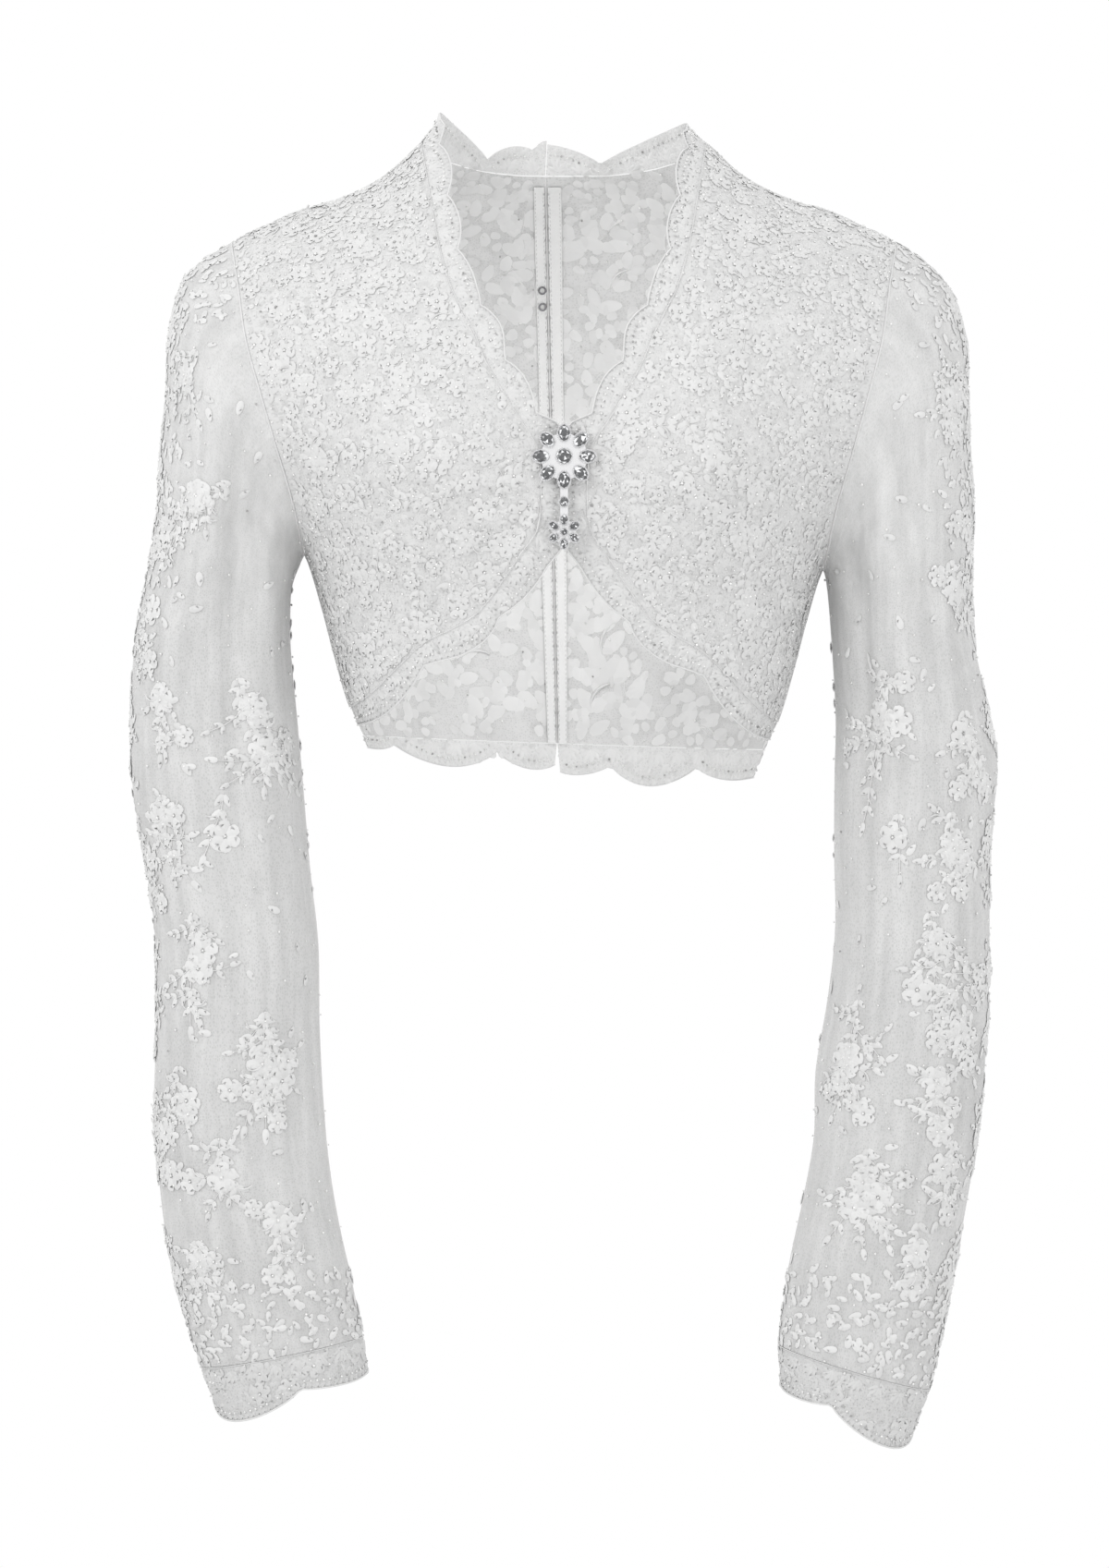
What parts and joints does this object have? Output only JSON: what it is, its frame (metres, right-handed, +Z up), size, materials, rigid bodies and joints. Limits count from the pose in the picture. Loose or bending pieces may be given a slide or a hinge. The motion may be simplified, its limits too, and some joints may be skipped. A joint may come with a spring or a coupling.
{
  "type": "bolero jacket",
  "caption": "Short lace bolero jacket with long set-in sleeves, a stand-up scalloped neck, cutaway fronts joined by a stone-set brooch and an open back seam.",
  "frame": {"origin": "middle of the neck base between the shoulder seams, where the garment is carried on the wearer's shoulders", "axes": "+Z up, -Y the way the fronts face, +X the wearer's left"},
  "size_m": [0.4685, 0.2107, 0.7145],
  "materials": {
    "body_lace": "beaded corded lace on soft net, ivory white",
    "sleeve_net": "sheer soft net with raised flower sprays",
    "border_lace": "corded scalloped lace with small beads",
    "placket_cloth": "plain white binding",
    "silver": "polished silver-coloured cast metal",
    "cut_glass": "faceted clear glass stones"
  },
  "bodies": {
    "root": {"front_right": "body_lace", "front_left": "body_lace", "back_right": "body_lace", "back_left": "body_lace", "sleeve_upper_right": "sleeve_net", "sleeve_lower_right": "sleeve_net", "sleeve_upper_left": "sleeve_net", "sleeve_lower_left": "sleeve_net", "front_edging_right": "border_lace", "front_edging_left": "border_lace", "neck_band_right": "border_lace", "neck_band_left": "border_lace", "hem_border_right": "border_lace", "hem_border_left": "border_lace", "cuff_right": "border_lace", "cuff_left": "border_lace", "placket_right": "placket_cloth", "placket_left": "placket_cloth", "brooch_setting": "silver", "hook_upper": "silver", "hook_lower": "silver", "stone_heart": "cut_glass", "stone_link": "cut_glass", "stone_drop_heart": "cut_glass", "stone_petal_1": "cut_glass", "stone_petal_2": "cut_glass", "stone_petal_3": "cut_glass", "stone_petal_4": "cut_glass", "stone_petal_5": "cut_glass", "stone_petal_6": "cut_glass", "stone_petal_7": "cut_glass", "stone_petal_8": "cut_glass", "stone_drop_1": "cut_glass", "stone_drop_2": "cut_glass", "stone_drop_3": "cut_glass", "stone_drop_4": "cut_glass", "stone_drop_5": "cut_glass", "stone_drop_6": "cut_glass"}
  },
  "joints": []
}
